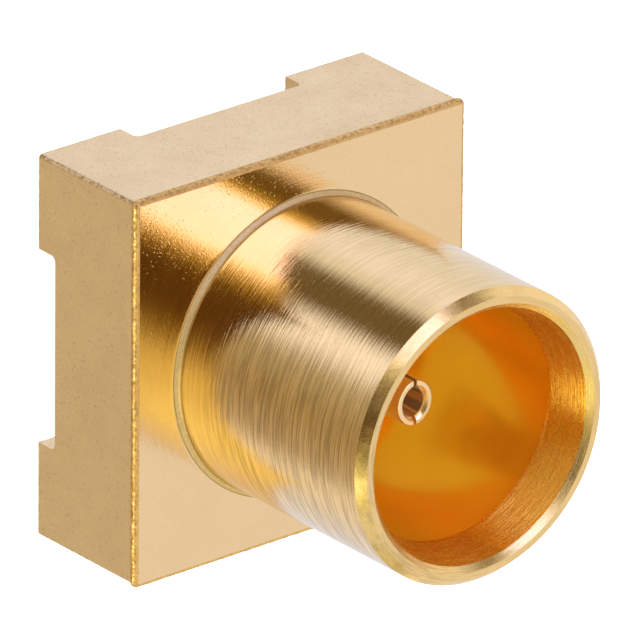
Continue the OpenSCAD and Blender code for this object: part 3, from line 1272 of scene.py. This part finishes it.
@dataclass
class CentreContact:
    """Centre contact: a shank with a solder tail, and two sprung tines.

    Sizes are millimetres. The entry_bend is the point where the flared entry bends, as shares of the
    flare away from the pin hole and down from the tip.
    """

    bearings: Bearings
    socket_r: float = 0.385
    saw_w: float = 0.15
    tip_gap: float = 0.06
    entry_flare: float = 0.06
    entry_bend: tuple[float, float] = (0.3, 0.6)
    chamfer: float = 0.03
    shank_r: float = 0.45
    barb_l: float = 0.3
    tail_r: float = 0.38
    tail_seat: float = 0.45
    drill_share: float = 0.8
    drill_point: float = 0.118
    segments: int = 96
    tine_steps: int = 40

    def shank(self) -> Section:
        """Draws the half section of the shank, its barb and its tail."""
        own = self.bearings
        root_z = own.tip_z - own.tine_l
        seat_z = own.back_z + self.tail_seat
        barb_z = (seat_z + own.floor_z) / 2
        drill_r = self.drill_share * own.pin_hole_r
        section = Section(0.0, 0.0, Finish.CONTACT)
        section.line(self.tail_r - self.chamfer, 0.0, steps=3).line(self.tail_r, self.chamfer)
        section.line(self.tail_r, seat_z).line(self.shank_r, seat_z).line(self.shank_r, barb_z)
        section.line(own.barb_r, barb_z).line(self.shank_r, barb_z + self.barb_l)
        section.line(self.shank_r, root_z - self.chamfer, steps=4)
        section.line(self.shank_r - self.chamfer, root_z)
        section.line(drill_r, root_z).line(0.0, root_z - self.drill_point)
        return section

    def tine(self) -> bpy.types.Mesh:
        """Draws the tine on the +X side, leaning in from its root."""
        own = self.bearings
        draft = Draft()
        length, edge = own.tine_l, self.chamfer
        inner, outer, flare = own.pin_hole_r, self.socket_r, self.entry_flare
        away, down = (share * flare for share in self.entry_bend)
        outline = [(outer, -edge), (outer, length - edge)]
        outline += quarter_turn((outer - edge, length - edge), edge)[1:]
        outline += [(inner + flare, length), (inner + away, length - down), (inner, length - flare),
                    (inner, -edge)]
        lean = math.asin((self.saw_w - self.tip_gap) / 2 / length)
        cut = self.saw_w / 2
        root_z = own.tip_z - length

        def leaning(radius: float, height: float, share: float) -> Point:
            """Places a point of the section at a share of the tine's half width."""
            angle = share * math.acos(cut / radius)
            x, y = on_circle((0.0, 0.0), radius, angle)
            return (x * math.cos(lean) - height * math.sin(lean), y,
                    root_z + x * math.sin(lean) + height * math.cos(lean))

        loop = [*outline, outline[0]]
        for step in range(self.tine_steps):
            shares = [2 * (step + side) / self.tine_steps - 1 for side in (0, 1)]
            first, second = (
                [leaning(radius, height, share) for radius, height in loop] for share in shares)
            draft.strip(first, second, Finish.CONTACT)
        for share in (-1.0, 1.0):
            draft.face([leaning(radius, height, share) for radius, height in outline], Finish.CONTACT)
        bmesh.ops.recalc_face_normals(draft.work, faces=draft.work.faces)
        return draft.mesh("tine")

    def build(self, trees: Trees) -> bpy.types.Object:
        """Turns the shank and joins both tines to it.

        Args:
            trees: The Geometry Nodes trees.

        Returns:
            The dressed piece, in place.
        """
        shank = grow(self.shank().mesh("shank_section"), trees.lathe, {
            "Segments": self.segments, "Mark Depth": 0.0, "Mark Pitch": 0.1 * MM, "Seed": 31})
        tines = grow(self.tine(), trees.ring, {"Count": 2, "Fray": 0.0, "Seed": 32})
        piece = weld("centre_socket", [shank, tines], trees.finishes)
        seat(piece, "centre_contact")
        return piece


@dataclass(frozen=True)
class Card:
    """One card of the ring around the jack, between two compass angles in degrees.

    A level of one is white. Warmth runs from zero for a neutral card to one for an amber one, and
    is negative for a cool one. Green multiplies the green part of the card's light.
    """

    # What full warmth takes from the green part and from the blue part
    GREEN_LOSS = 0.38
    BLUE_LOSS = 0.9

    start: float
    end: float
    level: float
    warmth: float = 0.0
    green: float = 1.0

    def colour(self, brightest: float) -> tuple[float, float, float, float]:
        """Returns the card's colour as a share of the brightest level."""
        share = self.level / brightest
        green = self.green * (1 - self.GREEN_LOSS * max(self.warmth, 0.0) ** 2)
        return share, share * green, share * (1 - self.BLUE_LOSS * self.warmth), 1.0


@dataclass(frozen=True)
class Lamp:
    """Round soft lamp. Its angles are degrees: it is full inside its core and gone at its reach."""

    azimuth: float
    elevation: float
    core: float
    reach: float
    strength: float
    tint: Colour = (1.0, 1.0, 1.0)

    def add_to(self, wiring: Wiring, way: Value, colour: Value) -> bpy.types.NodeSocket:
        """Lays the lamp over the world's colour.

        Args:
            wiring: The world's wiring.
            way: Direction that is looked in.
            colour: Colour of the world behind the lamp.

        Returns:
            The colour with the lamp in it.
        """
        towards = direction(self.azimuth, self.elevation)
        near = wiring.vector("DOT_PRODUCT", way, towards, result=1)
        edge, core = (math.cos(math.radians(angle)) for angle in (self.reach, self.core))
        light = tuple(self.strength * part for part in self.tint)
        return wiring.blend(wiring.ramp(near, edge, core, smooth=True), colour, (*light, 1.0))


@dataclass(frozen=True)
class Studio:
    """Soft studio around the jack: two rings of cards, one above the floor and one below it.

    Steepness is the sine of the angle to the floor, less that of 45 degrees. The slant turns the
    cards with it, in turns, and the fade dims them. Where it goes from the first value of calm to
    the second, the most that the cards may reach falls from open_level to calm_level. The seam is
    half the height of the blend between the two rings, as a sine.
    """

    upper: tuple[Card, ...] = (
        Card(0, 4, 0.89, 0.0, 0.96), Card(27, 46, 0.16, 0.9), Card(55, 56, 0.6, 0.85, 1.12),
        Card(60, 61, 1.4, 0.2), Card(66, 109, 1.78, -1.1), Card(113, 114, 1.7, 0.1),
        Card(117, 118, 0.85, 0.85, 1.14), Card(122, 123, 0.38, 0.95, 1.12),
        Card(131, 164, 0.1, 1.0, 0.85), Card(180, 181, 0.24, 0.9), Card(204, 216, 0.86, 0.55, 1.08),
        Card(236, 254, 1.10, 0.42, 1.09), Card(290, 330, 0.85, -0.03, 0.97),
        Card(345, 360, 0.89, 0.0, 0.96))
    lower: tuple[Card, ...] = (
        Card(0, 36, 0.82, -0.1, 1.02), Card(56, 66, 0.94, -0.2), Card(78, 79, 0.80, 0.0),
        Card(91, 113, 0.16, 0.75, 0.92), Card(126, 138, 1.1, -0.15), Card(156, 168, 0.46, 0.5, 0.93),
        Card(178, 195, 0.29, 0.7, 0.94), Card(206, 216, 0.42, 0.42, 0.89),
        Card(232, 250, 0.88, 0.15, 0.94), Card(270, 360, 0.82, -0.1))
    lamps: tuple[Lamp, ...] = (
        Lamp(0, 90, 20, 33, 1.1), Lamp(246, 14, 8, 22, 0.8), Lamp(98, 29, 10, 19, 1.75, (1.0, 1.0, 1.7)),
        Lamp(208, 4, 9, 20, 4.2, (1.0, 0.98, 0.65)), Lamp(203, -70, 6, 34, 0.62, (1.0, 0.75, 0.45)))
    slant: float = 0.24
    fade: float = 0.3
    seam: float = 0.15
    brightest: float = 2.0
    calm: tuple[float, float] = (0.14, 0.24)
    open_level: float = 4.0
    calm_level: float = 1.0
    top_strength: float = 1.8
    top_spread_deg: float = 50.0

    def build(self) -> None:
        """Sets the world up: the cards for every ray but the camera's, which sees plain white."""
        world = bpy.data.worlds.new("Studio")
        bpy.context.scene.world = world
        world.use_nodes = True
        world.node_tree.nodes.clear()
        wiring = Wiring(world.node_tree)
        towards = wiring.add("ShaderNodeTexCoord").outputs["Generated"]
        way = wiring.split(towards)
        compass = wiring.math("DIVIDE", wiring.math("ARCTAN2", way[1], way[0]), math.tau)
        steep = wiring.math("SUBTRACT", wiring.math("ABSOLUTE", way[2]), math.sin(math.radians(45)))
        leaned = wiring.math("MULTIPLY_ADD", steep, self.slant, compass)
        around = wiring.math("FRACT", wiring.math("ADD", leaned, 1.0))
        above = wiring.ramp(way[2], -self.seam, self.seam, smooth=True)
        lower, upper = (self._ring(wiring, around, cards) for cards in (self.lower, self.upper))
        strength = wiring.math("MULTIPLY_ADD", steep, -self.fade, 1.0)
        colour = wiring.scale(wiring.blend(above, lower, upper),
                              wiring.math("MULTIPLY", self.brightest, strength))
        limit = wiring.ramp(wiring.math("ABSOLUTE", steep), *self.calm, self.open_level, self.calm_level,
                            smooth=True)
        colour = wiring.vector("MINIMUM", colour, wiring.combine(limit, limit, limit))
        for lamp in self.lamps:
            colour = lamp.add_to(wiring, towards, colour)
        seen = wiring.add("ShaderNodeLightPath").outputs["Is Camera Ray"]
        shade = wiring.add("ShaderNodeBackground", {
            "Color": wiring.blend(seen, colour, (1.0, 1.0, 1.0, 1.0)), "Strength": 1.0})
        wiring.add("ShaderNodeOutputWorld", {"Surface": shade.outputs[0]})
        self._top_light()

    def _top_light(self) -> None:
        """Hangs a soft light over the bore. It lights the insulator, and no metal mirrors it."""
        light = bpy.data.lights.new("Top light", "SUN")
        light.energy = self.top_strength
        light.angle = math.radians(self.top_spread_deg)
        lamp = bpy.data.objects.new("Top light", light)
        bpy.context.scene.collection.objects.link(lamp)
        lamp.visible_glossy = False

    def _ring(self, wiring: Wiring, around: Value, cards: Sequence[Card]) -> bpy.types.NodeSocket:
        """Makes one ring of cards.

        Args:
            wiring: The world's wiring.
            around: Compass angle as a share of a turn.
            cards: The cards, in order.

        Returns:
            The ring's colour as a share of the brightest level.
        """
        node = wiring.add("ShaderNodeValToRGB", {0: around})
        stops = [(angle / 360, card.colour(self.brightest))
                 for card in cards for angle in (card.start, card.end)]
        elements = node.color_ramp.elements
        elements[0].position, elements[-1].position = stops[0][0], stops[-1][0]
        for place, _ in stops[1:-1]:
            elements.new(place)
        for element, (_, colour) in zip(elements, stops):
            element.color = colour
        return node.outputs[0]


@dataclass(frozen=True)
class Floor:
    """Plain white floor in the plane of the feet, which only keeps the jack's shadow.

    It is clear from below, where the jack's underside shows.
    """

    half_mm: float = 60.0
    colour: Colour = (0.9, 0.9, 0.9)
    glow: float = 0.85

    def build(self) -> None:
        half = self.half_mm * MM
        mesh = bpy.data.meshes.new("floor")
        corners = [(x * half, y * half, 0.0) for x, y in ((-1, -1), (1, -1), (1, 1), (-1, 1))]
        mesh.from_pydata(corners, [], [(0, 1, 2, 3)])
        material = bpy.data.materials.new("Floor")
        material.use_nodes = True
        wiring = Wiring(material.node_tree)
        shader, out = (material.node_tree.nodes[name] for name in ("Principled BSDF", "Material Output"))
        below = wiring.add("ShaderNodeNewGeometry").outputs["Backfacing"]
        clear = wiring.add("ShaderNodeBsdfTransparent").outputs[0]
        sided = wiring.add("ShaderNodeMixShader", {0: below, 1: shader.outputs[0], 2: clear}).outputs[0]
        wiring.feed(out.inputs["Surface"], sided)
        shader.inputs["Base Color"].default_value = (*self.colour, 1.0)
        shader.inputs["Roughness"].default_value = 1.0
        shader.inputs["Specular IOR Level"].default_value = 0.0
        shader.inputs["Emission Color"].default_value = (1.0, 1.0, 1.0, 1.0)
        seen = wiring.add("ShaderNodeLightPath").outputs["Is Camera Ray"]
        wiring.feed(shader.inputs["Emission Strength"], wiring.math("MULTIPLY", seen, self.glow))
        mesh.materials.append(material)
        floor = bpy.data.objects.new("floor", mesh)
        bpy.context.scene.collection.objects.link(floor)
        floor.visible_glossy = False
        floor.visible_shadow = False


@dataclass(frozen=True)
class PhotoCamera:
    """Long lens that looks at the jack from its front, rolled so that +Y is nearly upright."""

    azimuth_deg: float = 144.453
    elevation_deg: float = 44.914
    roll_deg: float = -117.274
    distance_mm: float = 290.674
    right_mm: float = 1.817
    down_mm: float = 0.422
    lens_mm: float = 1070.0
    sensor_mm: float = 36.0

    def build(self) -> None:
        """Makes the camera and hands it to the scene."""
        roll = math.radians(self.roll_deg)
        back = Vector(direction(self.azimuth_deg, self.elevation_deg))
        level = Vector((0.0, 0.0, 1.0)).cross(back).normalized()
        upright = back.cross(level)
        right = level * math.cos(roll) - upright * math.sin(roll)
        up = level * math.sin(roll) + upright * math.cos(roll)
        place = (right * self.right_mm - up * self.down_mm + back * self.distance_mm) * MM
        data = bpy.data.cameras.new("Camera")
        data.lens, data.sensor_width = self.lens_mm, self.sensor_mm
        data.clip_start, data.clip_end = 0.01, 1.0
        camera = bpy.data.objects.new("Camera", data)
        turn = Matrix((right, up, back)).transposed().to_4x4()
        camera.matrix_world = Matrix.Translation(place) @ turn
        bpy.context.scene.collection.objects.link(camera)
        bpy.context.scene.camera = camera


def main() -> None:
    """Builds the jack around its frame, the studio and the camera."""
    logging.basicConfig(level=logging.INFO, format="%(name)s: %(message)s")
    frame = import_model()
    bearings = Bearings.read(frame["record"])
    trees = Trees(build_finishes())
    for part in (ConnectorBody(bearings), Insulator(bearings), CentreContact(bearings)):
        piece = part.build(trees)
        log.info("%s is in place", piece.name)
    bpy.context.scene.view_settings.view_transform = "Standard"
    Studio().build()
    Floor().build()
    PhotoCamera().build()


if __name__ == "__main__":
    main()
